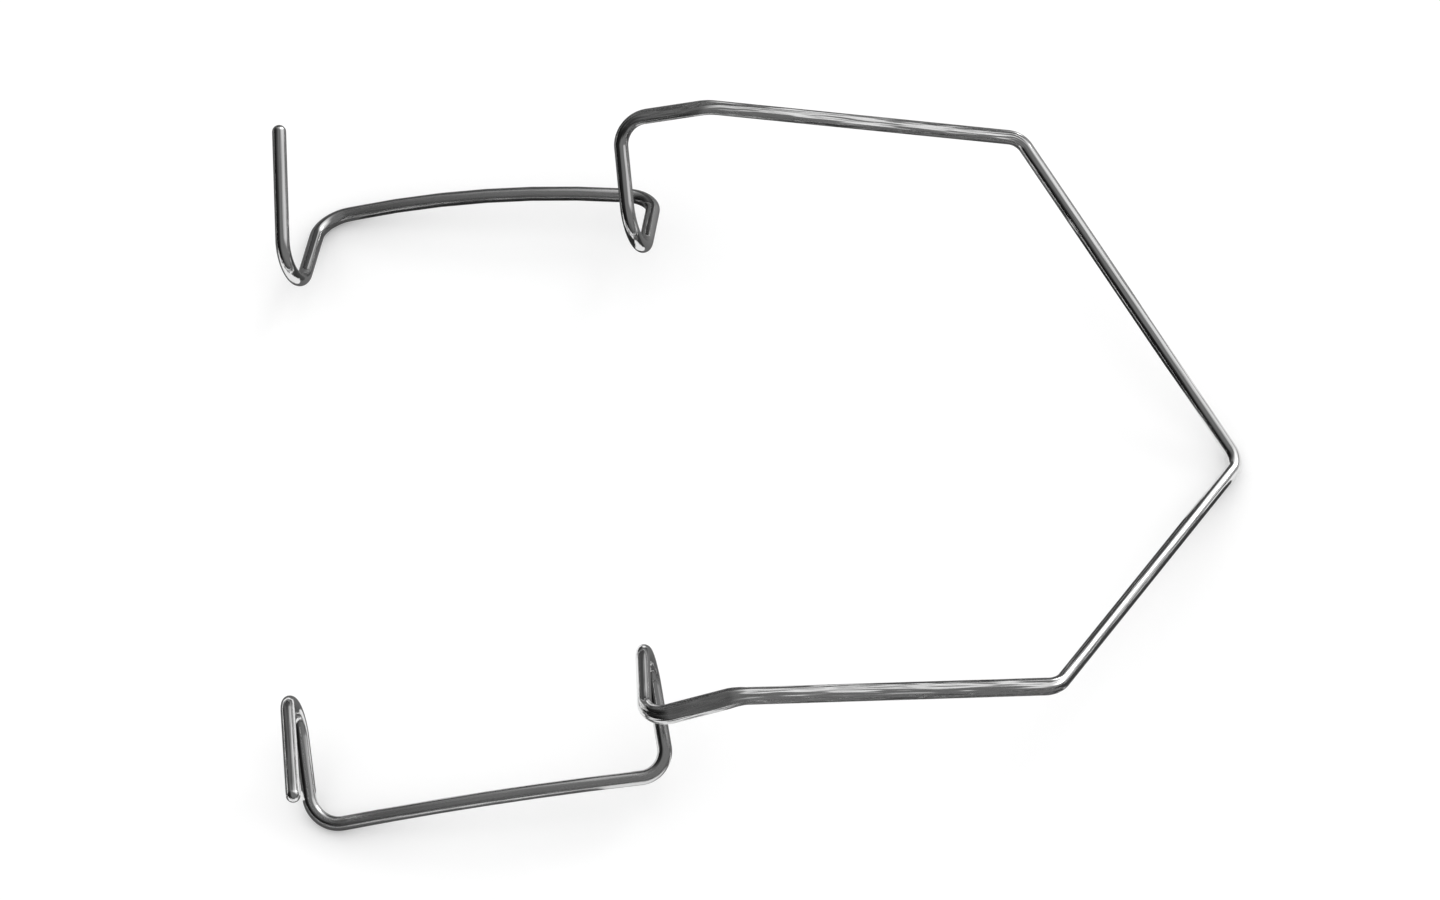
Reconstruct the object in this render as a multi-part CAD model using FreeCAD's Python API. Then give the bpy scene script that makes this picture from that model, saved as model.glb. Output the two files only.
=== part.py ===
import FreeCAD, Part
import math
import os
from FreeCAD import Rotation, Vector

# Wire eye speculum: one length of springy steel wire, bent so that its two blades hold the lids
# of one eye apart. It lies as it rests on a table, on the tip corners of its two blade bars and
# on the vertex of its V spring. X runs from the blade tips to the vertex, Y across the
# instrument and Z up from the table. Lengths are in millimetres, angles are in degrees, and
# places on the wire are those of its centre line, at the corner that each bend rounds off.

# Wire
wire_diameter = 0.6

# V spring: two straight legs that meet at the vertex
spring_run = 8.25
shoulder_half_width = 13.3
shoulder_height = 5.6
vertex_bend_radius = 0.9
shoulder_bend_radius = 1.0

# Arms from the shoulders to the cranks, and the short cranked runs on to the blades
arm_run = 12.95
crank_run = 3.8
crank_half_width = 14.25
crank_height = 8.0
crank_bend_radius = 1.6
blade_bend_radius = 1.15

# The arms and cranked runs are pressed to an oval for the fingers. The oval lies across the
# instrument with its inner edge tipped up.
arm_thickness = 0.49
crank_thickness = 0.42
oval_tilt = 15.0

# Blades: a bar that lies under the lid, with a hook round the lid's margin at each end. The
# opening is the clear width between the blades' hooks, and the spacing is between the tops of a
# blade's two hooks' turns. The bar is one long bow, and its middle corner, where the tangents
# from the bow's ends meet, stands off a straight bar.
lid_opening = 20.0
hook_spacing = 14.65
blade_pitch = 5.3
blade_toe_out = 3.0
rear_bar_bend_radius = 1.1
tip_bar_bend_radius = 1.3
bow_corner_up = 1.15
bow_corner_out = 0.35

# Hooks: a leg under the lid, a tight turn at the lid's margin and a leg over the lid. A reach is
# measured outward from the margin, and a drop or rise from the nearer corner of the turn.
hook_gap = 1.85
rear_under_reach = 4.0
rear_under_drop = 2.05
rear_over_reach = 4.45
rear_over_rise = 1.5
tip_under_reach = 4.35
tip_under_drop = 1.75
tip_over_reach = 5.6
tip_over_rise = 1.5

# The tip hook's leg over the lid runs slightly across the blade, its free end to the rear
tip_over_skew = 0.2

# The hooks lean toward the tips. The wire is bent by hand, and the left blade's hooks lean
# further than the right blade's. A leg under the lid has a lean of its own.
left_hook_lean = 11.0
left_rear_under_lean = 3.5
left_tip_under_lean = 13.0
right_hook_lean = 2.6
right_rear_under_lean = 2.4
right_tip_under_lean = -1.5

wire_radius = wire_diameter / 2

# Places in the list of one side's corners, which runs from the free end to the vertex
TIP_OVER, TIP_UNDER, BAR_TIP, BOW, BAR_REAR, REAR_UNDER, REAR_OVER, OUTER, CRANK, SHOULDER = range(1, 11)


def blade_corners(hook_lean, rear_under_lean, tip_under_lean):
    """Corners of one blade in its own frame, from the free end to the rear hook's outer corner.

    The origin is below the top of the rear hook's turn at the height of the bar's rear corner, x
    runs along the bar to the rear, y outward and z up.
    """
    slope = math.tan(math.radians(hook_lean))

    def hook(x, margin, under_lean, under_reach, under_drop, over_reach, over_rise):
        turn_top = under_drop + hook_gap
        turn_bottom_x = x + slope * hook_gap
        return [
            Vector(x - slope * over_rise, margin + over_reach, turn_top + over_rise),
            Vector(x, margin, turn_top),
            Vector(turn_bottom_x, margin, under_drop),
            Vector(turn_bottom_x + math.tan(math.radians(under_lean)) * under_drop, margin + under_reach, 0),
        ]

    rear = hook(0, 0, rear_under_lean, rear_under_reach, rear_under_drop, rear_over_reach, rear_over_rise)
    tip_margin = rear_under_reach - tip_under_reach
    tip = hook(
        -hook_spacing, tip_margin, tip_under_lean,
        tip_under_reach, tip_under_drop, tip_over_reach, tip_over_rise,
    )
    tip[0].x += tip_over_skew / 2
    tip[1].x -= tip_over_skew / 2
    bow_x = (tip[-1].x + rear[-1].x) / 2
    bow = Vector(bow_x, rear_under_reach + bow_corner_out, bow_corner_up)
    return tip + [bow] + rear[::-1]


def side_corners(*leans):
    """Corners of the left half of the wire, from its free end to the vertex at x = 0."""
    toe_out = Rotation(Vector(0, 0, 1), -blade_toe_out)
    pitch = Rotation(Vector(0, 1, 0), -blade_pitch)
    blade = [pitch.multVec(toe_out.multVec(corner)) for corner in blade_corners(*leans)]

    shoulder = Vector(-spring_run, shoulder_half_width, shoulder_height)
    crank = Vector(shoulder.x - arm_run, crank_half_width, crank_height)
    turn = [blade[i].y for i in (TIP_OVER, TIP_UNDER, REAR_UNDER, REAR_OVER)]
    margin = sum(turn) / len(turn)
    shift = Vector(
        crank.x - crank_run - blade[OUTER].x,
        lid_opening / 2 + wire_radius - margin,
        wire_radius - blade[BAR_TIP].z,
    )
    return [corner + shift for corner in blade] + [crank, shoulder, Vector(0, 0, wire_radius)]


def half_angle(before, corner, after):
    """Half of the angle between the two runs that meet at a corner, in radians."""
    return (before - corner).getAngle(after - corner) / 2


def turn_radius(before, first, second, after):
    """Radius that takes a hook's turn round both its corners with no straight wire between."""
    cotangents = 1 / math.tan(half_angle(before, first, second))
    cotangents += 1 / math.tan(half_angle(first, second, after))
    return (second - first).Length / cotangents


def bow_radius(corners):
    """Radius of the bar's bow, which takes up the whole bar between the bends at its ends."""
    before, rear, bow, tip, after = corners
    half = half_angle(rear, bow, tip)
    rear_bend = rear_bar_bend_radius / math.tan(half_angle(before, rear, bow))
    tip_bend = tip_bar_bend_radius / math.tan(half_angle(bow, tip, after))
    room = min((rear - bow).Length - rear_bend, (tip - bow).Length - tip_bend)
    return room * math.tan(half)


def side_radii(corners):
    """Bend radii of one side, in the order of its corners from the tip hook to the shoulder."""
    tip_turn = turn_radius(*corners[:BAR_TIP + 1])
    rear_turn = turn_radius(*corners[BAR_REAR:OUTER + 1])
    bow = bow_radius(corners[TIP_UNDER:REAR_UNDER + 1])
    blade = [tip_turn, tip_turn, tip_bar_bend_radius, bow, rear_bar_bend_radius, rear_turn, rear_turn]
    return blade + [blade_bend_radius, crank_bend_radius, shoulder_bend_radius]


def bend_points(before, corner, after, radius):
    """Start, middle and end of the arc that rounds off a corner."""
    half = half_angle(before, corner, after)
    back = (before - corner).normalize()
    ahead = (after - corner).normalize()
    inward = (back + ahead).normalize()
    tangent = radius / math.tan(half)
    depth = radius / math.sin(half) - radius
    return corner + back * tangent, corner + inward * depth, corner + ahead * tangent


def wide_ways(headings):
    """Direction of the section's wide way on each straight run, turned with the wire's bends.

    It starts from the left arm, where the oval's inner edge is tipped up by its tilt.
    """
    tilt = math.radians(oval_tilt)
    across = Vector(0, -math.cos(tilt), math.sin(tilt))
    ways = [None] * len(headings)
    ways[CRANK] = (across - headings[CRANK] * across.dot(headings[CRANK])).normalize()
    for i in range(CRANK + 1, len(headings)):
        ways[i] = Rotation(headings[i - 1], headings[i]).multVec(ways[i - 1])
    for i in range(CRANK - 1, -1, -1):
        ways[i] = Rotation(headings[i + 1], headings[i]).multVec(ways[i + 1])
    return ways


def section(centre, heading, wide_way, thickness):
    """Section across the wire: round at full thickness, or an oval of the same area."""
    if thickness < wire_diameter:
        width = wire_diameter ** 2 / thickness
        outline = Part.Ellipse(centre, width / 2, thickness / 2)
    else:
        outline = Part.Circle(centre, heading, wire_radius)
    outline.Axis = heading
    outline.XAxis = wide_way
    return Part.Wire(outline.toShape())


def bent_wire():
    """The wire from the left free end to the right one, with a polished round nose on each."""
    left = side_corners(left_hook_lean, left_rear_under_lean, left_tip_under_lean)
    right = side_corners(right_hook_lean, right_rear_under_lean, right_tip_under_lean)
    corners = left + [Vector(corner.x, -corner.y, corner.z) for corner in right[-2::-1]]
    radii = side_radii(left) + [vertex_bend_radius] + side_radii(right)[::-1]
    bends = [bend_points(*corners[i:i + 3], radius) for i, radius in enumerate(radii)]

    headings = [(b - a).normalize() for a, b in zip(corners, corners[1:])]
    ways = wide_ways(headings)
    side_thicknesses = [wire_diameter] * OUTER + [crank_thickness, arm_thickness, wire_diameter]
    thicknesses = side_thicknesses + side_thicknesses[::-1]

    def across(point, run):
        return section(point, headings[run], ways[run], thicknesses[run])

    pieces = [Part.makeSphere(wire_radius, end) for end in (corners[0], corners[-1])]
    run_starts = [corners[0]] + [bend[2] for bend in bends]
    run_ends = [bend[0] for bend in bends] + [corners[-1]]
    for run, (start, end) in enumerate(zip(run_starts, run_ends)):
        if (end - start).Length > 1e-6:
            pieces.append(Part.Face(across(start, run)).extrude(end - start))
    for run, (start, middle, end) in enumerate(bends):
        arc = Part.Wire(Part.Arc(start, middle, end).toShape())
        pieces.append(arc.makePipeShell([across(start, run), across(end, run + 1)], True, False))
    return pieces[0].multiFuse(pieces[1:]).Solids[0]


def settled(wire):
    """The wire turned about Y and dropped until its bar tips and its vertex touch the table."""
    boxes = [face.optimalBoundingBox() for face in wire.Faces]
    middle = wire.BoundBox.Center.x
    tip = min((box for box in boxes if box.Center.x < middle), key=lambda box: box.ZMin)
    vertex = min((box for box in boxes if box.Center.x > middle), key=lambda box: box.ZMin)
    slope = math.atan2(tip.ZMin - vertex.ZMin, vertex.Center.x - tip.Center.x)
    level = wire.rotated(Vector(0, 0, 0), Vector(0, 1, 0), -math.degrees(slope))
    box = level.optimalBoundingBox()
    return level.translated(Vector(-box.Center.x, 0, -box.ZMin))


def main():
    os.makedirs("parts", exist_ok=True)
    settled(bent_wire()).exportStep("parts/speculum_wire.step")


if __name__ == "__main__":
    main()
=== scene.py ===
"""Wire eye speculum: the polished, bent wire on its white ground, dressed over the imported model."""
import math

import bpy
import numpy as np
from bpy.props import FloatProperty, FloatVectorProperty, IntProperty, PointerProperty
from mathutils import Matrix, Vector


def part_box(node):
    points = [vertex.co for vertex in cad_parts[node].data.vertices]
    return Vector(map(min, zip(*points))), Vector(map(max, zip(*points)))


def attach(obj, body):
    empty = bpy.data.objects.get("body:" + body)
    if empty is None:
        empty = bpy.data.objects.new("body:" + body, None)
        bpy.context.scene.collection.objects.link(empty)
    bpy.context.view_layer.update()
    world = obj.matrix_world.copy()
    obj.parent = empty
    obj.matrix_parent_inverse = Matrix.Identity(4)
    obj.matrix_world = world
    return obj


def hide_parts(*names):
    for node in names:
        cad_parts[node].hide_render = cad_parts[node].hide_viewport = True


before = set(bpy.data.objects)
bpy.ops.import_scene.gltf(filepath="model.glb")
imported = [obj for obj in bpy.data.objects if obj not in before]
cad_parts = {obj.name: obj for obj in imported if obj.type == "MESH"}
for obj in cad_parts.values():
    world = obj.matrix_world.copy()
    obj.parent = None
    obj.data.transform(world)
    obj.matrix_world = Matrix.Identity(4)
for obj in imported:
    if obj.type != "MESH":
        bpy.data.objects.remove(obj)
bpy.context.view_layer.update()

bl_info = {
    "name": "Wire eye speculum",
    "version": (1, 0, 0),
    "blender": (4, 5, 0),
    "location": "3D View > Sidebar > Speculum",
    "description": "Builds a wire eye speculum and its white studio",
    "category": "Add Mesh",
}

NODE = "speculum_wire"
UV_MAP = "along_and_round"

# Places in the list of one side's corners, which runs from the free end to the vertex. A straight run
# has the name of the corner that it starts from.
(
    FREE_END, TIP_OVER, TIP_UNDER, BAR_TIP, BOW, BAR_REAR,
    REAR_UNDER, REAR_OVER, OUTER, CRANK, SHOULDER, VERTEX,
) = range(12)

# Runs whose polish is worn satin: both halves of the bar, the cranked run and the arm
SATIN_RUNS = (BAR_TIP, BOW, OUTER, CRANK)

# Columns of the table of stations along the wire
CENTRE, HEADING, WIDE_WAY = slice(0, 3), slice(3, 6), slice(6, 9)
HALF_WIDTH, HALF_THICKNESS, PRESSED, SATIN = range(9, 13)

# Lengths in metres below which two stations are one
SAME_PLACE = 1e-8
SAME_WIDTH = 1e-9

FEWEST_BEND_STEPS = 4

# Noise round the wire for each mark on the steel: grain, detail and a shift that sets it apart
LINES = {"Grain": 9.0, "Detail": 3.0}
SWELLS = {"Grain": 1.1, "Detail": 2.0, "Shift": 73.0}
SCUFFS = {"Grain": 4.0, "Detail": 4.0, "Shift": 11.0}

# Spans between two values of the noise, or of the pressing, and from one level to another where they
# are given: how much a line dulls, how much a scuff dulls, and how the pressing brings out scuffs and
# swells
LINED = (0.48, 0.7)
SCUFFED = (0.5, 0.7, 0.0, 0.7)
SCUFFS_BY_PRESSING = (0.0, 0.6, 0.35, 1.0)
SWELLS_BY_PRESSING = (0.0, 0.5, 0.12, 1.0)

# Share of the dull finish that lines and scuffs give, and the share that worn runs add
LINE_SHARE = 0.4
SATIN_SHARE = 0.6

# The ground lies just under the wire. Each card lies over the ground and over the card before it.
GROUND_SHADE = 0.9
GROUND_HEIGHT = -0.00002
FIRST_CARD_HEIGHT = -0.000014
CARD_STEP = 0.000001
CARD_ROUGHNESS = 0.6
CARD_IOR = 1.8

# Cards on the ground that only reflections show, to darken what the steel mirrors: painted shade that
# stands in for the wire's contact shadows and darker ground round it. Name, low corner, high corner and shade
SHADE_CARDS = (
    ("spring_card", (0.0165, -0.1), (0.2, -0.001), 0.007),
    ("inner_card", (-0.001, -0.001), (0.0165, 0.0095), 0.014),
    ("bar_inner_card", (-0.0155, -0.001), (-0.006, 0.0095), 0.02),
    ("rear_card", (-0.2, 0.0095), (0.2, 0.2), 0.12),
    ("bar_rear_card", (-0.0165, 0.0095), (-0.004, 0.0143), 0.014),
    ("tip_card", (-0.2, -0.013), (-0.0165, -0.001), 0.105),
    ("middle_card", (-0.006, -0.013), (0.0165, -0.001), 0.105),
    ("bar_card", (-0.2, -0.0195), (-0.007, -0.0135), 0.12),
    ("crank_card", (-0.007, -0.0147), (-0.001, -0.0135), 0.105),
    ("arm_card", (-0.001, -0.1), (0.0165, -0.0135), 0.105),
)

# Glow of the tent, by the unit vector (x, y, z) from the object's middle and by its slope, which is the
# sum of x, y and z with these weights. A ramp names what it follows, the two values that it runs
# between and its level at each. The ramps in a list are multiplied.
SLOPE = (1.2, 0.9, 1.0)
TENT_LEVEL = 0.2
RIGHT_RAMPS = (("x", 0.1, 0.5, 0.0, 0.65), ("slope", 1.3, 1.75, 0.0, 1.0), ("z", 0.08, 0.3, 0.15, 1.0))
BEHIND_RAMPS = (("y", 0.2, 0.8, 0.0, 0.2), ("z", 0.8, 0.2, 0.3, 1.0))
SHADE_RAMPS = (("x", -0.7, -0.2, 0.12, 1.0), ("slope", -0.9, 0.1, 0.4, 1.0), ("z", 0.0, 0.2, 0.35, 1.0))

# Round spots on the tent: azimuth and elevation of the middle and angles from it to the outer and the
# inner rim, all in degrees, then the level outside and inside
PALE_SPOT = (64.0, 44.0, 32.0, 6.0, 0.0, 0.6)
DARK_SPOT = (95.0, 12.0, 30.0, 14.0, 1.0, 0.2)

TENT_SIDES = 64
TENT_ROWS = 17

SENSOR_WIDTH = 36.0
CLIP_START = 0.01

Y_AXIS, Z_AXIS = np.eye(3)[1:]


def length(name, text, default):
    """A size in metres that a user may change."""
    return FloatProperty(name=name, description=text, default=default, unit="LENGTH", precision=5)


def turn(name, text, degrees):
    """An angle, given in degrees and kept in radians, that a user may change."""
    return FloatProperty(name=name, description=text, default=math.radians(degrees), subtype="ANGLE")


def share(name, text, default):
    """A plain number from 0 to 1 that a user may change."""
    return FloatProperty(name=name, description=text, default=default, min=0.0, max=1.0, subtype="FACTOR")


def brightness(name, text, default):
    """Brightness of a lamp's face that a user may change."""
    return FloatProperty(name=name, description=text, default=default, min=0.0)


class SPECULUM_PG_wire(bpy.types.PropertyGroup):
    """Sizes of the bent wire, as it is made before it is laid down."""

    wire_diameter: length("Wire diameter", "Diameter of the round wire", 0.0006)

    spring_run: length("Spring run", "How far the V spring's legs run back from the shoulders", 0.00825)
    shoulder_half_width: length("Shoulder half width", "From the middle to a shoulder corner", 0.0133)
    shoulder_height: length("Shoulder height", "Height of the shoulder corners", 0.0056)
    vertex_bend_radius: length("Vertex bend", "Radius of the bend at the vertex", 0.0009)
    shoulder_bend_radius: length("Shoulder bend", "Radius of the shoulder bends", 0.001)

    arm_run: length("Arm run", "From the shoulder to the crank, along the instrument", 0.01295)
    crank_run: length("Crank run", "From the crank to the blade, along the instrument", 0.0038)
    crank_half_width: length("Crank half width", "From the middle to a crank corner", 0.01425)
    crank_height: length("Crank height", "Height of the crank corners", 0.008)
    crank_bend_radius: length("Crank bend", "Radius of the bend at a crank", 0.0016)
    blade_bend_radius: length("Blade bend", "Radius of the bend from the crank's run to the blade", 0.00115)

    arm_thickness: length("Arm thickness", "Thickness that the arms are pressed to", 0.00049)
    crank_thickness: length("Crank thickness", "Thickness that the cranked runs are pressed to", 0.00042)
    oval_tilt: turn("Oval tilt", "How far the inner edge of the pressed oval is tipped up", 15.0)

    lid_opening: length("Lid opening", "Clear width between the blades' hooks", 0.02)
    hook_spacing: length("Hook spacing", "Between the tops of a blade's two hooks' turns", 0.01465)
    blade_pitch: turn("Blade pitch", "How far the blades point down toward their tips", 5.3)
    blade_toe_out: turn("Blade toe-out", "How far the blades spread toward their tips", 3.0)
    rear_bar_bend_radius: length("Rear bar bend", "Radius of the bend at the bar's rear end", 0.0011)
    tip_bar_bend_radius: length("Tip bar bend", "Radius of the bend at the bar's tip end", 0.0013)
    bow_corner_up: length("Bow, up", "How far the bow's corner stands above a straight bar", 0.00115)
    bow_corner_out: length("Bow, out", "How far the bow's corner stands outside a straight bar", 0.00035)

    hook_gap: length("Hook gap", "Between the two corners of a hook's turn", 0.00185)
    rear_under_reach: length("Rear under reach", "Reach of the rear hook's leg under the lid", 0.004)
    rear_under_drop: length("Rear under drop", "Drop of the rear hook's leg under the lid", 0.00205)
    rear_over_reach: length("Rear over reach", "Reach of the rear hook's leg over the lid", 0.00445)
    rear_over_rise: length("Rear over rise", "Rise of the rear hook's leg over the lid", 0.0015)
    tip_under_reach: length("Tip under reach", "Reach of the tip hook's leg under the lid", 0.00435)
    tip_under_drop: length("Tip under drop", "Drop of the tip hook's leg under the lid", 0.00175)
    tip_over_reach: length("Tip over reach", "Reach of the tip hook's leg over the lid", 0.0056)
    tip_over_rise: length("Tip over rise", "Rise of the tip hook's leg over the lid", 0.0015)
    tip_over_skew: length("Tip over skew", "How far the tip hook's free end runs to the rear", 0.0002)
    left_hook_lean: turn("Left hook lean", "Lean of the left blade's hooks toward the tips", 11.0)
    left_rear_under_lean: turn("Left rear under lean", "Lean of the left rear hook's leg under the lid", 3.5)
    left_tip_under_lean: turn("Left tip under lean", "Lean of the left tip hook's leg under the lid", 13.0)
    right_hook_lean: turn("Right hook lean", "Lean of the right blade's hooks toward the tips", 2.6)
    right_rear_under_lean: turn(
        "Right rear under lean", "Lean of the right rear hook's leg under the lid", 2.4,
    )
    right_tip_under_lean: turn("Right tip under lean", "Lean of the right tip hook's leg under the lid", -1.5)

    facets_round: IntProperty(
        name="Facets round", description="Number of facets round the wire", default=48, min=8, max=128,
    )
    row_angle: turn("Row angle", "Bend angle between one ring of points and the next", 3.5)
    row_length: length("Row length", "Length of wire between rings on a straight run", 0.0005)


class SPECULUM_PG_steel(bpy.types.PropertyGroup):
    """Finish of the polished stainless steel."""

    colour: FloatVectorProperty(
        name="Steel", description="Colour that the polished steel reflects with", subtype="COLOR",
        default=(0.75, 0.75, 0.75), min=0.0, max=1.0, size=3,
    )
    dull_colour: FloatVectorProperty(
        name="Dull steel", description="Colour where the steel is satin or lined", subtype="COLOR",
        default=(0.6, 0.6, 0.6), min=0.0, max=1.0, size=3,
    )
    roughness: share("Roughness", "Roughness where the polish is best", 0.05)
    dull_roughness: share("Dull roughness", "Roughness where the steel is satin or lined", 0.34)
    line_length: length("Line length", "Length of a drawing line along the wire", 0.0035)
    scuff_length: length("Scuff length", "Length of a scuff along the wire", 0.0004)
    line_depth: length("Line depth", "Depth of the drawing lines", 0.000004)
    swell_length: length("Swell length", "Length of the low swells left by pressing and polishing", 0.0045)
    swell_depth: length("Swell depth", "Depth of the low swells where the wire is pressed", 0.00022)


class SPECULUM_PG_stage(bpy.types.PropertyGroup):
    """Camera, ground, tent and lamp."""

    camera_azimuth: turn("Camera azimuth", "Turn of the camera round the object, from the front", 1.79)
    camera_elevation: turn("Camera elevation", "Height of the camera over the ground, as an angle", 58.44)
    camera_roll: turn("Camera roll", "Turn of the camera about its own axis", -4.95)
    camera_distance: length("Camera distance", "From the camera to the point that it looks at", 0.38921)
    look_at_x: length("Look at, X", "Point that the camera looks at, along the object", -0.00159)
    look_at_y: length("Look at, Y", "Point that the camera looks at, across the object", -0.00024)
    look_at_z: length("Look at, Z", "Point that the camera looks at, above the ground", 0.004)
    lens: FloatProperty(
        name="Lens", description="Focal length for a 36 mm wide sensor, in millimetres",
        default=235.2, min=1.0,
    )
    ground_size: length("Ground size", "Width of the white ground", 2.0)
    ground_lift: share("Ground lift", "Brightness of the ground over what the light gives it", 0.12)
    tent_radius: length("Tent radius", "Radius of the glowing tent over the object", 0.8)
    lamp_distance: length("Lamp distance", "From the object to the key lamp", 0.6)
    key_azimuth: turn("Key azimuth", "Azimuth of the key lamp, from +X toward +Y", 46.0)
    key_elevation: turn("Key elevation", "Height of the key lamp over the ground, as an angle", 26.0)
    key_size: length("Key size", "Diameter of the key lamp", 0.19)
    key_brightness: brightness("Key brightness", "Brightness of the key lamp's face, where 1 is white", 5.0)


def cotangent(angle):
    return 1.0 / math.tan(angle)


def unit(vectors):
    """Vectors divided by their own length."""
    return vectors / np.linalg.norm(vectors, axis=-1, keepdims=True)


def turned(vectors, axis, angles):
    """Vectors turned about a unit axis, by Rodrigues' formula:

    v cos(a) + (axis x v) sin(a) + axis (axis . v) (1 - cos(a)), for each angle a.
    """
    vectors = np.asarray(vectors, float)
    c, s = np.cos(angles)[..., None], np.sin(angles)[..., None]
    return vectors * c + np.cross(axis, vectors) * s + axis * (vectors @ axis)[..., None] * (1 - c)


def blade_corners(sizes, hook_lean, rear_under_lean, tip_under_lean):
    """Corners of one blade in its own frame, from the free end to the rear hook's outer corner.

    The origin is below the top of the rear hook's turn, at the height of the bar's rear corner; x runs
    along the bar to the rear, y outward and z up. Along a hook, x falls by tan(lean) for each unit of
    height.
    """
    slope = math.tan(hook_lean)

    def hook(x, margin, under_lean, under_reach, under_drop, over_reach, over_rise):
        turn_top = under_drop + sizes.hook_gap
        turn_bottom_x = x + slope * sizes.hook_gap
        return [
            (x - slope * over_rise, margin + over_reach, turn_top + over_rise),
            (x, margin, turn_top),
            (turn_bottom_x, margin, under_drop),
            (turn_bottom_x + math.tan(under_lean) * under_drop, margin + under_reach, 0.0),
        ]

    rear = hook(
        0.0, 0.0, rear_under_lean,
        sizes.rear_under_reach, sizes.rear_under_drop, sizes.rear_over_reach, sizes.rear_over_rise,
    )
    tip = hook(
        -sizes.hook_spacing, sizes.rear_under_reach - sizes.tip_under_reach, tip_under_lean,
        sizes.tip_under_reach, sizes.tip_under_drop, sizes.tip_over_reach, sizes.tip_over_rise,
    )
    bow_x = (tip[-1][0] + rear[-1][0]) / 2
    bow = (bow_x, sizes.rear_under_reach + sizes.bow_corner_out, sizes.bow_corner_up)
    corners = np.array([*tip, bow, *rear[::-1]])
    corners[[FREE_END, TIP_OVER], 0] += np.array([0.5, -0.5]) * sizes.tip_over_skew
    return corners


def side_corners(sizes, *leans):
    """Corners of the left half of the wire, from its free end to the vertex at x = 0."""
    toed = turned(blade_corners(sizes, *leans), Z_AXIS, np.array(-sizes.blade_toe_out))
    blade = turned(toed, Y_AXIS, np.array(-sizes.blade_pitch))
    radius = sizes.wire_diameter / 2
    shoulder = np.array([-sizes.spring_run, sizes.shoulder_half_width, sizes.shoulder_height])
    crank = np.array([shoulder[0] - sizes.arm_run, sizes.crank_half_width, sizes.crank_height])
    margin = blade[[TIP_OVER, TIP_UNDER, REAR_UNDER, REAR_OVER], 1].mean()
    shift = np.array([
        crank[0] - sizes.crank_run - blade[OUTER, 0],
        sizes.lid_opening / 2 + radius - margin,
        radius - blade[BAR_TIP, 2],
    ])
    return np.vstack([blade + shift, crank, shoulder, [0.0, 0.0, radius]])


def half_angle(before, corner, after):
    """Half of the angle between the two runs that meet at a corner."""
    back, ahead = unit(before - corner), unit(after - corner)
    return math.acos(float(np.clip(back @ ahead, -1, 1))) / 2


def turn_radius(before, first, second, after):
    """Radius that takes a hook's turn round both its corners with no straight wire between."""
    cotangents = cotangent(half_angle(before, first, second)) + cotangent(half_angle(first, second, after))
    return np.linalg.norm(second - first) / cotangents


def bow_radius(sizes, corners):
    """Radius of the bar's bow, which takes up the whole bar between the bends at its ends."""
    before, rear, bow, tip, after = corners
    rear_bend = sizes.rear_bar_bend_radius * cotangent(half_angle(before, rear, bow))
    tip_bend = sizes.tip_bar_bend_radius * cotangent(half_angle(bow, tip, after))
    room = min(np.linalg.norm(rear - bow) - rear_bend, np.linalg.norm(tip - bow) - tip_bend)
    return room * math.tan(half_angle(rear, bow, tip))


def side_radii(sizes, corners):
    """Bend radii of one side, in the order of its corners from the tip hook to the shoulder."""
    tip_turn = turn_radius(*corners[FREE_END:BAR_TIP + 1])
    rear_turn = turn_radius(*corners[BAR_REAR:OUTER + 1])
    bow = bow_radius(sizes, corners[TIP_UNDER:REAR_UNDER + 1])
    return [
        tip_turn, tip_turn, sizes.tip_bar_bend_radius, bow, sizes.rear_bar_bend_radius, rear_turn, rear_turn,
        sizes.blade_bend_radius, sizes.crank_bend_radius, sizes.shoulder_bend_radius,
    ]


def wide_ways(sizes, headings):
    """Direction of the section's wide way on each straight run, turned with the wire's bends."""
    across = np.array([0.0, -math.cos(sizes.oval_tilt), math.sin(sizes.oval_tilt)])
    ways = [None] * len(headings)
    ways[CRANK] = unit(across - headings[CRANK] * (across @ headings[CRANK]))
    for step in (1, -1):
        run = CRANK
        while 0 <= run + step < len(headings):
            axis = np.cross(headings[run], headings[run + step])
            size = np.linalg.norm(axis)
            angle = np.array(math.atan2(size, headings[run] @ headings[run + step]))
            ways[run + step] = turned(ways[run], axis / size, angle)
            run += step
    return ways


class Stations:
    """Places along the wire, one row each: centre, heading and wide way, then the section.

    The section is half width, half thickness, pressing and satin.
    """

    def __init__(self):
        self.rows = []

    def add(self, centres, headings, ways, *section):
        """Adds rows. Each part of the section is one number for all of them, or a number for each."""
        count = len(centres)
        columns = [np.broadcast_to(np.asarray(part, float), (count, 3)) for part in (headings, ways)]
        numbers = [np.broadcast_to(np.asarray(part, float), (count,)) for part in section]
        self.rows.append(np.hstack([centres, *columns, np.stack(numbers, axis=1)]))

    def table(self):
        """All the rows, without those that repeat the one before."""
        rows = np.vstack(self.rows)
        step = np.linalg.norm(np.diff(rows[:, CENTRE], axis=0), axis=1)
        widening = np.abs(np.diff(rows[:, HALF_WIDTH]))
        return rows[np.concatenate([[True], (step > SAME_PLACE) | (widening > SAME_WIDTH)])]


def nose(stations, end, heading, way, radius, rows, outward):
    """Half a ball at a free end: the radius is r cos(t) at a distance r sin(t) beyond the end."""
    t = np.linspace(math.pi / 2, 0, rows, endpoint=False)[1:]
    if outward > 0:
        t = t[::-1]
    offsets, radii = outward * np.sin(t) * radius, np.cos(t) * radius
    stations.add(end + heading * offsets[:, None], heading, way, radii, radii, 0.0, 0.0)


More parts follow.
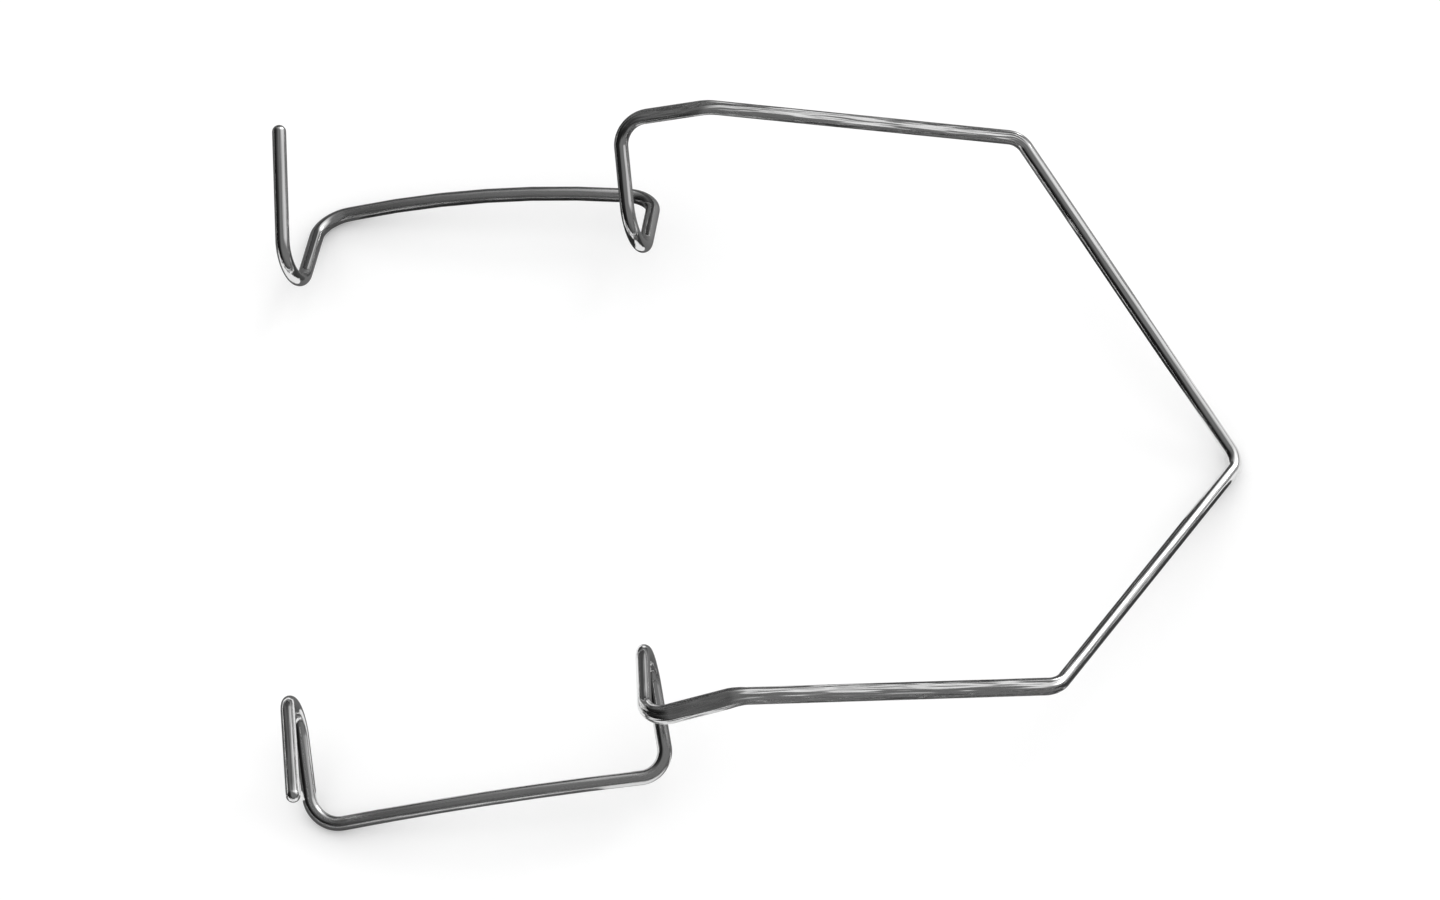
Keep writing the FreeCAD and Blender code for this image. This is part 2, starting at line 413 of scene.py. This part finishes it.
def bend(stations, sizes, start, heading, axis, angle, radius, way, sections):
    """One bend: the centre line turns about its axis by an angle, and the section changes evenly."""
    steps = max(FEWEST_BEND_STEPS, math.ceil(angle / sizes.row_angle))
    part = np.linspace(0, 1, steps + 1)
    angles = part * angle
    inward = np.cross(axis, heading)
    centre = start + inward * radius
    stations.add(
        centre - turned(inward, axis, angles) * radius,
        turned(heading, axis, angles),
        turned(way, axis, angles),
        *(before + (after - before) * part for before, after in zip(*sections)),
    )


def wire_stations(sizes):
    """Table of stations along the whole wire, from the left free end to the right one."""
    left = side_corners(
        sizes, sizes.left_hook_lean, sizes.left_rear_under_lean, sizes.left_tip_under_lean,
    )
    right = side_corners(
        sizes, sizes.right_hook_lean, sizes.right_rear_under_lean, sizes.right_tip_under_lean,
    )
    corners = np.vstack([left, right[-2::-1] * np.array([1.0, -1.0, 1.0])])
    radii = side_radii(sizes, left) + [sizes.vertex_bend_radius] + side_radii(sizes, right)[::-1]
    headings = unit(np.diff(corners, axis=0))
    ways = wide_ways(sizes, headings)

    radius = sizes.wire_diameter / 2

    def section(run):
        """Half width, half thickness, pressing and satin of an oval with the round wire's area."""
        thin_runs = {OUTER: sizes.crank_thickness, CRANK: sizes.arm_thickness}
        thickness = thin_runs.get(run, sizes.wire_diameter)
        pressed = (sizes.wire_diameter - thickness) / (sizes.wire_diameter - sizes.crank_thickness)
        return radius * sizes.wire_diameter / thickness, thickness / 2, pressed, float(run in SATIN_RUNS)

    side = [section(run) for run in range(VERTEX)]
    sections = side + side[::-1]

    tangents = [
        bend_radius * cotangent(half_angle(*corners[i:i + 3])) for i, bend_radius in enumerate(radii)
    ]
    stations = Stations()
    nose_rows = sizes.facets_round // 4
    nose(stations, corners[0], headings[0], ways[0], radius, nose_rows, -1)
    place = corners[0]
    for run, (heading, way) in enumerate(zip(headings, ways)):
        last = run == len(headings) - 1
        end = corners[run + 1] if last else corners[run + 1] - heading * tangents[run]
        run_length = max(float((end - place) @ heading), 0.0)
        steps = max(1, math.ceil(run_length / sizes.row_length))
        along = np.linspace(0, run_length, steps + 1)[:, None]
        stations.add(place + heading * along, heading, way, *sections[run])
        if not last:
            axis = np.cross(heading, headings[run + 1])
            size = np.linalg.norm(axis)
            angle = math.atan2(size, heading @ headings[run + 1])
            bend(
                stations, sizes, end, heading, axis / size, angle, radii[run], way,
                (sections[run], sections[run + 1]),
            )
            place = corners[run + 1] + headings[run + 1] * tangents[run]
    nose(stations, corners[-1], headings[-1], ways[-1], radius, nose_rows, 1)
    ends = (corners[0] - headings[0] * radius, corners[-1] + headings[-1] * radius)
    return stations.table(), ends


def settled(points):
    """Points laid down on the ground: turned about Y until the blades' tips and the vertex touch it."""
    middle = (points[:, 0].min() + points[:, 0].max()) / 2
    low = []
    for half in (points[points[:, 0] < middle], points[points[:, 0] > middle]):
        low.append(half[half[:, 2].argmin()])
    tip, vertex = low
    slope = math.atan2(tip[2] - vertex[2], vertex[0] - tip[0])
    level = turned(points, Y_AXIS, np.array(-slope))
    node_low, node_high = (np.array(corner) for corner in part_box(NODE))
    level[:, 0] += (node_low[0] + node_high[0] - level[:, 0].min() - level[:, 0].max()) / 2
    level[:, 2] += node_low[2] - level[:, 2].min()
    return level


def tube_points(table, count):
    """Rings round the centre line: p = c + w a cos(v) + (h x w) b sin(v), for v round the section.

    c is the centre, h the heading, w the wide way, a the half width and b the half thickness.
    """
    thin_ways = np.cross(table[:, HEADING], table[:, WIDE_WAY])
    v = np.linspace(0, 2 * math.pi, count, endpoint=False)
    wide = (table[:, HALF_WIDTH, None] * np.cos(v))[..., None] * table[:, None, WIDE_WAY]
    thin = (table[:, HALF_THICKNESS, None] * np.sin(v))[..., None] * thin_ways[:, None]
    return table[:, None, CENTRE] + wide + thin


def tube_faces(rings, count):
    """Quads between neighbouring rings and a fan of triangles over each end."""
    ring, place = np.meshgrid(np.arange(rings - 1), np.arange(count), indexing="ij")
    following = (place + 1) % count
    quads = np.stack([
        ring * count + place, ring * count + following,
        (ring + 1) * count + following, (ring + 1) * count + place,
    ], axis=-1).reshape(-1, 4)
    first, after = np.arange(count), (np.arange(count) + 1) % count
    start_pole, end_pole = rings * count, rings * count + 1
    last = (rings - 1) * count
    start_fan = np.stack([np.full(count, start_pole), after, first], axis=1)
    end_fan = np.stack([np.full(count, end_pole), last + first, last + after], axis=1)
    return quads, np.vstack([start_fan, end_fan])


def face_corner_uvs(table, count):
    """Two values for each face corner: metres along the wire, and the share of a turn round it.

    The last facet of a ring ends at a full turn and not back at zero, so that lines run straight.
    """
    steps = np.linalg.norm(np.diff(table[:, CENTRE], axis=0), axis=1)
    along = np.concatenate([[0.0], np.cumsum(steps)])
    ring, place = np.meshgrid(np.arange(len(table) - 1), np.arange(count), indexing="ij")
    u0, u1 = along[ring], along[ring + 1]
    v0, v1 = place / count, (place + 1) / count
    quads = np.stack([
        np.stack([u0, v0], -1), np.stack([u0, v1], -1), np.stack([u1, v1], -1), np.stack([u1, v0], -1),
    ], axis=2).reshape(-1, 2)
    v = np.arange(count) / count
    half = 0.5 / count
    starts = np.zeros(count)
    ends = np.full(count, along[-1])
    start_fan = np.stack([
        np.stack([starts, v + half], -1), np.stack([starts, v + 2 * half], -1), np.stack([starts, v], -1),
    ], axis=1).reshape(-1, 2)
    end_fan = np.stack([
        np.stack([ends, v + half], -1), np.stack([ends, v], -1), np.stack([ends, v + 2 * half], -1),
    ], axis=1).reshape(-1, 2)
    return np.vstack([quads, start_fan, end_fan])


def wire_mesh(sizes):
    """The whole wire as one closed mesh, with its own map along and round the wire."""
    count = sizes.facets_round
    table, ends = wire_stations(sizes)
    points = np.vstack([tube_points(table, count).reshape(-1, 3), *ends])
    points = settled(points)
    quads, triangles = tube_faces(len(table), count)

    mesh = bpy.data.meshes.new("polished_wire")
    mesh.vertices.add(len(points))
    mesh.vertices.foreach_set("co", points.astype(np.float32).ravel())
    loops = np.concatenate([quads.ravel(), triangles.ravel()])
    mesh.loops.add(len(loops))
    mesh.loops.foreach_set("vertex_index", loops.astype(np.int32))
    totals = np.concatenate([np.full(len(quads), 4), np.full(len(triangles), 3)])
    mesh.polygons.add(len(totals))
    mesh.polygons.foreach_set("loop_start", (np.cumsum(totals) - totals).astype(np.int32))
    mesh.polygons.foreach_set("loop_total", totals.astype(np.int32))
    mesh.update(calc_edges=True)
    mesh.shade_smooth()

    uv_map = mesh.uv_layers.new(name=UV_MAP)
    uv_map.data.foreach_set("uv", face_corner_uvs(table, count).astype(np.float32).ravel())
    for name, column in (("pressed", PRESSED), ("satin", SATIN)):
        attribute = mesh.attributes.new(name, "FLOAT", "POINT")
        values = np.concatenate([np.repeat(table[:, column], count), [0.0, 0.0]])
        attribute.data.foreach_set("value", values.astype(np.float32))
    mesh.validate()
    return mesh


class NodeSheet:
    """A node tree and short ways to add to it."""

    def __init__(self, tree):
        self.tree = tree
        tree.nodes.clear()

    def add(self, kind, **settings):
        """A new node with its settings."""
        node = self.tree.nodes.new(kind)
        for name, value in settings.items():
            setattr(node, name, value)
        return node

    def feed(self, socket, source):
        """Links a socket to an output, or sets it to a plain value."""
        if isinstance(source, bpy.types.NodeSocket):
            self.tree.links.new(source, socket)
        else:
            socket.default_value = source

    def math(self, operation, *inputs):
        """The result of one step of arithmetic."""
        node = self.add("ShaderNodeMath", operation=operation)
        for socket, source in zip(node.inputs, inputs):
            self.feed(socket, source)
        return node.outputs[0]

    def attribute(self, name):
        """A value that the mesh holds at each point."""
        return self.add("ShaderNodeAttribute", attribute_name=name).outputs["Fac"]

    def span(self, value, low, high, to_low=0.0, to_high=1.0):
        """A value carried smoothly from one span to another and held at its ends."""
        node = self.add("ShaderNodeMapRange", interpolation_type="SMOOTHSTEP", clamp=True)
        for socket, source in zip(node.inputs, (value, low, high, to_low, to_high)):
            self.feed(socket, source)
        return node.outputs["Result"]

    def mix_colours(self, factor, first, second):
        """A colour between two others."""
        node = self.add("ShaderNodeMix", data_type="RGBA")
        sockets = [socket for socket in node.inputs if socket.enabled]
        for socket, source in zip(sockets, (factor, (*first, 1.0), (*second, 1.0))):
            self.feed(socket, source)
        return next(socket for socket in node.outputs if socket.enabled)

    def surface(self, shader):
        """Gives the material its shader."""
        self.feed(self.add("ShaderNodeOutputMaterial").inputs["Surface"], shader.outputs[0])


def new_material(name):
    """An empty material with its sheet."""
    material = bpy.data.materials.new(name)
    material.use_nodes = True
    return material, NodeSheet(material.node_tree)


def new_group(name, inputs, outputs):
    """An empty node group with named value sockets. Returns it with its sheet, input and output nodes."""
    group = bpy.data.node_groups.new(name, "ShaderNodeTree")
    for socket, default in inputs:
        item = group.interface.new_socket(socket, in_out="INPUT", socket_type="NodeSocketFloat")
        item.default_value = default
    for socket in outputs:
        group.interface.new_socket(socket, in_out="OUTPUT", socket_type="NodeSocketFloat")
    sheet = NodeSheet(group)
    return group, sheet, sheet.add("NodeGroupInput"), sheet.add("NodeGroupOutput")


def wire_noise_group():
    """Noise that follows the wire: its own length along it, and its own grain round it.

    The place round the wire is put on a circle, cos(v) and sin(v), so that the noise meets itself.
    """
    group, sheet, given, result = new_group(
        "wire_noise", [("Length", 0.001), ("Grain", 3.0), ("Detail", 2.0), ("Shift", 0.0)], ["Noise"],
    )
    uv = sheet.add("ShaderNodeUVMap", uv_map=UV_MAP)
    parts = sheet.add("ShaderNodeSeparateXYZ")
    sheet.feed(parts.inputs[0], uv.outputs["UV"])
    along = sheet.math("DIVIDE", parts.outputs["X"], given.outputs["Length"])
    along = sheet.math("ADD", along, given.outputs["Shift"])
    angle = sheet.math("MULTIPLY", parts.outputs["Y"], 2 * math.pi)
    place = sheet.add("ShaderNodeCombineXYZ")
    sheet.feed(place.inputs["X"], along)
    for axis, way in (("Y", "COSINE"), ("Z", "SINE")):
        sheet.feed(place.inputs[axis], sheet.math("MULTIPLY", sheet.math(way, angle), given.outputs["Grain"]))
    noise = sheet.add("ShaderNodeTexNoise")
    sheet.feed(noise.inputs["Vector"], place.outputs[0])
    sheet.feed(noise.inputs["Scale"], 1.0)
    sheet.feed(noise.inputs["Detail"], given.outputs["Detail"])
    sheet.feed(result.inputs["Noise"], noise.outputs["Fac"])
    return group


def place_group(sheet, group, **values):
    """A group placed in a material with its own values."""
    node = sheet.add("ShaderNodeGroup", node_tree=group)
    for name, value in values.items():
        sheet.feed(node.inputs[name], value)
    return node


def steel_material(finish):
    """Polished stainless steel: lines along the wire, scuffs, worn satin runs and low swells.

    Dullness is the line share of the greater of lines and scuffs, plus the satin share on worn runs. It
    carries colour and roughness from polished to dull. Height is line depth times the lines' noise, plus
    swell depth times the swells' noise, mostly where the wire is pressed.
    """
    material, sheet = new_material("polished_steel_wire")
    noise = wire_noise_group()

    def mark(length, values):
        return place_group(sheet, noise, Length=length, **values).outputs["Noise"]

    lines = mark(finish.line_length, LINES)
    swells = mark(finish.swell_length, SWELLS)
    scuffs = mark(finish.scuff_length, SCUFFS)
    pressed = sheet.attribute("pressed")

    lined = sheet.span(lines, *LINED)
    scuffed = sheet.span(scuffs, *SCUFFED)
    scuffed = sheet.math("MULTIPLY", scuffed, sheet.span(pressed, *SCUFFS_BY_PRESSING))
    dull = sheet.math("MULTIPLY", sheet.math("MAXIMUM", lined, scuffed), LINE_SHARE)
    dull = sheet.math("ADD", dull, sheet.math("MULTIPLY", sheet.attribute("satin"), SATIN_SHARE))

    line_height = sheet.math("MULTIPLY", lines, finish.line_depth)
    swell_height = sheet.math("MULTIPLY", swells, finish.swell_depth)
    swell_height = sheet.math("MULTIPLY", swell_height, sheet.span(pressed, *SWELLS_BY_PRESSING))
    bump = sheet.add("ShaderNodeBump")
    sheet.feed(bump.inputs["Strength"], 1.0)
    sheet.feed(bump.inputs["Distance"], 1.0)
    sheet.feed(bump.inputs["Height"], sheet.math("ADD", line_height, swell_height))

    rough = sheet.math("MULTIPLY", dull, finish.dull_roughness - finish.roughness)
    shader = sheet.add("ShaderNodeBsdfPrincipled")
    sheet.feed(shader.inputs["Metallic"], 1.0)
    sheet.feed(shader.inputs["Base Color"], sheet.mix_colours(dull, finish.colour, finish.dull_colour))
    sheet.feed(shader.inputs["Roughness"], sheet.math("ADD", rough, finish.roughness))
    sheet.feed(shader.inputs["Normal"], bump.outputs["Normal"])
    sheet.surface(shader)
    return material


def white_for_sight(sheet):
    """1 for rays that see the ground plainly, in a mirror or through glass, else 0."""
    path = sheet.add("ShaderNodeLightPath")
    seen = sheet.math("MAXIMUM", path.outputs["Is Camera Ray"], path.outputs["Is Glossy Ray"])
    return sheet.math("MAXIMUM", seen, path.outputs["Is Transmission Ray"])


def ground_material(lift):
    """White ground. The lift tops up what the light gives it, so that it looks white but for its shadows."""
    material, sheet = new_material("white_ground")
    matt = sheet.add("ShaderNodeBsdfDiffuse")
    sheet.feed(matt.inputs["Color"], (GROUND_SHADE, GROUND_SHADE, GROUND_SHADE, 1.0))
    white = sheet.add("ShaderNodeEmission")
    sheet.feed(white.inputs["Strength"], sheet.math("MULTIPLY", white_for_sight(sheet), lift))
    both = sheet.add("ShaderNodeAddShader")
    sheet.feed(both.inputs[0], matt.outputs[0])
    sheet.feed(both.inputs[1], white.outputs[0])
    sheet.surface(both)
    return material


def shade_card_material(name, shade):
    """Coated card of one plain shade, which paints shade into the steel's reflections."""
    material, sheet = new_material(name)
    shader = sheet.add("ShaderNodeBsdfPrincipled")
    sheet.feed(shader.inputs["Base Color"], (shade, shade, shade, 1.0))
    sheet.feed(shader.inputs["Roughness"], CARD_ROUGHNESS)
    sheet.feed(shader.inputs["IOR"], CARD_IOR)
    sheet.surface(shader)
    return material


def stage_piece(name, points, faces, material):
    """A piece of the stage from its points and faces."""
    mesh = bpy.data.meshes.new(name)
    mesh.from_pydata(points, [], faces)
    mesh.materials.append(material)
    piece = bpy.data.objects.new(name, mesh)
    bpy.context.scene.collection.objects.link(piece)
    return piece


def level_sheet(name, low, high, height, material):
    """A level sheet between two corners."""
    corners = ((low[0], low[1]), (high[0], low[1]), (high[0], high[1]), (low[0], high[1]))
    return stage_piece(name, [(*corner, height) for corner in corners], [(0, 1, 2, 3)], material)


def lay_shade_cards():
    """Lays the cards on the ground. They hide it in reflections alone and paint shade over it there."""
    for i, (name, low, high, shade) in enumerate(SHADE_CARDS):
        height = FIRST_CARD_HEIGHT + i * CARD_STEP
        card = level_sheet(name, low, high, height, shade_card_material(name, shade))
        card.visible_camera = False
        card.visible_diffuse = False
        card.visible_shadow = False


def direction(azimuth, elevation):
    """Unit vector at an azimuth from +X toward +Y and an elevation."""
    return Vector((
        math.cos(azimuth) * math.cos(elevation), math.sin(azimuth) * math.cos(elevation), math.sin(elevation),
    ))


def tent_material():
    """Cloth that glows: dark on the left, grey in front and overhead, and pale on the right and behind.

    Its level is (right + behind + pale spot + plain level) times the shades and the dark spot, and each
    of these is a smooth ramp, or a product of ramps, of the way from the object's middle.
    """
    material, sheet = new_material("tent_cloth")
    way = sheet.add("ShaderNodeVectorMath", operation="NORMALIZE")
    sheet.feed(way.inputs[0], sheet.add("ShaderNodeTexCoord").outputs["Object"])
    parts = sheet.add("ShaderNodeSeparateXYZ")
    sheet.feed(parts.inputs[0], way.outputs[0])

    def along(vector):
        """How far the way goes along a vector: their dot product."""
        dot = sheet.add("ShaderNodeVectorMath", operation="DOT_PRODUCT")
        sheet.feed(dot.inputs[0], way.outputs[0])
        sheet.feed(dot.inputs[1], vector)
        return dot.outputs["Value"]

    followed = dict(zip("xyz", parts.outputs), slope=along(SLOPE))

    def product(level, rows):
        """A level times each ramp in turn."""
        for name, *span in rows:
            level = sheet.math("MULTIPLY", level, sheet.span(followed[name], *span))
        return level

    def spot(azimuth, elevation, outer, inner, outside, inside):
        """One value inside a round spot and another outside it, with a soft rim between two angles."""
        middle = direction(math.radians(azimuth), math.radians(elevation))
        rims = (math.cos(math.radians(angle)) for angle in (outer, inner))
        return sheet.span(along(middle), *rims, outside, inside)

    level = sheet.math("ADD", product(1.0, RIGHT_RAMPS), product(1.0, BEHIND_RAMPS))
    level = sheet.math("ADD", sheet.math("ADD", level, spot(*PALE_SPOT)), TENT_LEVEL)
    level = sheet.math("MULTIPLY", product(level, SHADE_RAMPS), spot(*DARK_SPOT))
    cloth = sheet.add("ShaderNodeEmission")
    sheet.feed(cloth.inputs["Strength"], level)
    sheet.surface(cloth)
    return material


def tent(radius):
    """Half a ball of cloth over the object: p = r (cos a cos e, sin a cos e, sin e).

    Only reflections show it: the ground is lit by the white world beyond it.
    """
    a, e = np.meshgrid(
        np.linspace(0, 2 * math.pi, TENT_SIDES, endpoint=False),
        np.linspace(0, math.pi / 2, TENT_ROWS)[:-1],
    )
    points = np.stack([np.cos(a) * np.cos(e), np.sin(a) * np.cos(e), np.sin(e)], axis=-1).reshape(-1, 3)
    points = np.vstack([points, Z_AXIS]) * radius
    row, place = np.meshgrid(np.arange(TENT_ROWS - 2), np.arange(TENT_SIDES), indexing="ij")
    after = (place + 1) % TENT_SIDES
    quads = np.stack([
        row * TENT_SIDES + place, (row + 1) * TENT_SIDES + place,
        (row + 1) * TENT_SIDES + after, row * TENT_SIDES + after,
    ], axis=-1).reshape(-1, 4)
    top = (TENT_ROWS - 2) * TENT_SIDES
    ring = np.arange(TENT_SIDES)
    pole = np.full(TENT_SIDES, len(points) - 1)
    cap = np.stack([top + ring, pole, top + (ring + 1) % TENT_SIDES], axis=-1)
    piece = stage_piece("tent", points.tolist(), [*quads.tolist(), *cap.tolist()], tent_material())
    piece.visible_camera = False
    piece.visible_diffuse = False


def soft_box(name, towards, distance, size, brightness):
    """Round soft lamp that stands off the object in a direction and faces it.

    A lamp of power P and area A shines with a brightness of P / (pi A).
    """
    data = bpy.data.lights.new(name, "AREA")
    data.shape = "DISK"
    data.size = size
    data.energy = brightness * math.pi * math.pi * (size / 2) ** 2
    lamp = bpy.data.objects.new(name, data)
    bpy.context.scene.collection.objects.link(lamp)
    facing = towards.to_track_quat("Z", "Y").to_matrix().to_4x4()
    lamp.matrix_world = Matrix.Translation(towards * distance) @ facing
    lamp.visible_camera = False


def white_world():
    """Plain white beyond the ground and the tent, which lights the ground."""
    world = bpy.data.worlds.new("white")
    world.use_nodes = True
    world.node_tree.nodes["Background"].inputs["Color"].default_value = (1.0, 1.0, 1.0, 1.0)
    bpy.context.scene.world = world


def photo_camera(stage):
    """Camera at the photograph's angle.

    It stands back from the point it looks at along (sin a cos e, -cos a cos e, sin e), and its own
    right and up are turned about that line by the roll.
    """
    a, e = stage.camera_azimuth, stage.camera_elevation
    back = Vector((math.sin(a) * math.cos(e), -math.cos(a) * math.cos(e), math.sin(e)))
    right = Vector((math.cos(a), math.sin(a), 0.0))
    up = back.cross(right)
    roll = stage.camera_roll
    rolled_right = right * math.cos(roll) + up * math.sin(roll)
    rolled_up = up * math.cos(roll) - right * math.sin(roll)
    data = bpy.data.cameras.new("camera")
    data.lens = stage.lens
    data.sensor_width = SENSOR_WIDTH
    data.clip_start = CLIP_START
    camera = bpy.data.objects.new("camera", data)
    bpy.context.scene.collection.objects.link(camera)
    place = Vector((stage.look_at_x, stage.look_at_y, stage.look_at_z)) + back * stage.camera_distance
    axes = Matrix((rolled_right, rolled_up, back)).transposed().to_4x4()
    camera.matrix_world = Matrix.Translation(place) @ axes
    bpy.context.scene.camera = camera


class SPECULUM_OT_wire(bpy.types.Operator):
    """Build the bent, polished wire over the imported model's wire"""

    bl_idname = "speculum.wire"
    bl_label = "Bend the wire"

    def execute(self, context):
        piece = bpy.data.objects.new("polished_wire", wire_mesh(context.scene.speculum_wire))
        context.scene.collection.objects.link(piece)
        piece.data.materials.append(steel_material(context.scene.speculum_steel))
        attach(piece, "root")
        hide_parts(NODE)
        return {"FINISHED"}


class SPECULUM_OT_stage(bpy.types.Operator):
    """Lay the white ground, light it and set the camera at the photograph's angle"""

    bl_idname = "speculum.stage"
    bl_label = "Set the stage"

    def execute(self, context):
        stage = context.scene.speculum_stage
        half = stage.ground_size / 2
        ground = ground_material(stage.ground_lift)
        level_sheet("ground", (-half, -half), (half, half), GROUND_HEIGHT, ground)
        lay_shade_cards()
        tent(stage.tent_radius)
        soft_box(
            "key_lamp", direction(stage.key_azimuth, stage.key_elevation),
            stage.lamp_distance, stage.key_size, stage.key_brightness,
        )
        white_world()
        photo_camera(stage)
        context.scene.view_settings.view_transform = "Standard"
        return {"FINISHED"}


class SPECULUM_PT_panel(bpy.types.Panel):
    """Lists the speculum's pieces"""

    bl_label = "Wire eye speculum"
    bl_space_type = "VIEW_3D"
    bl_region_type = "UI"
    bl_category = "Speculum"

    def draw(self, context):
        for operator in (SPECULUM_OT_wire, SPECULUM_OT_stage):
            self.layout.operator(operator.bl_idname)
        for group in ("speculum_wire", "speculum_steel", "speculum_stage"):
            settings = getattr(context.scene, group)
            column = self.layout.column()
            for name in settings.__annotations__:
                column.prop(settings, name)


SETTINGS = {
    "speculum_wire": SPECULUM_PG_wire,
    "speculum_steel": SPECULUM_PG_steel,
    "speculum_stage": SPECULUM_PG_stage,
}
CLASSES = (*SETTINGS.values(), SPECULUM_OT_wire, SPECULUM_OT_stage, SPECULUM_PT_panel)


def register():
    for cls in CLASSES:
        bpy.utils.register_class(cls)
    for name, group in SETTINGS.items():
        setattr(bpy.types.Scene, name, PointerProperty(type=group))


def unregister():
    for name in SETTINGS:
        delattr(bpy.types.Scene, name)
    for cls in reversed(CLASSES):
        bpy.utils.unregister_class(cls)


def main():
    register()
    bpy.ops.speculum.wire()
    bpy.ops.speculum.stage()


if __name__ == "__main__":
    main()
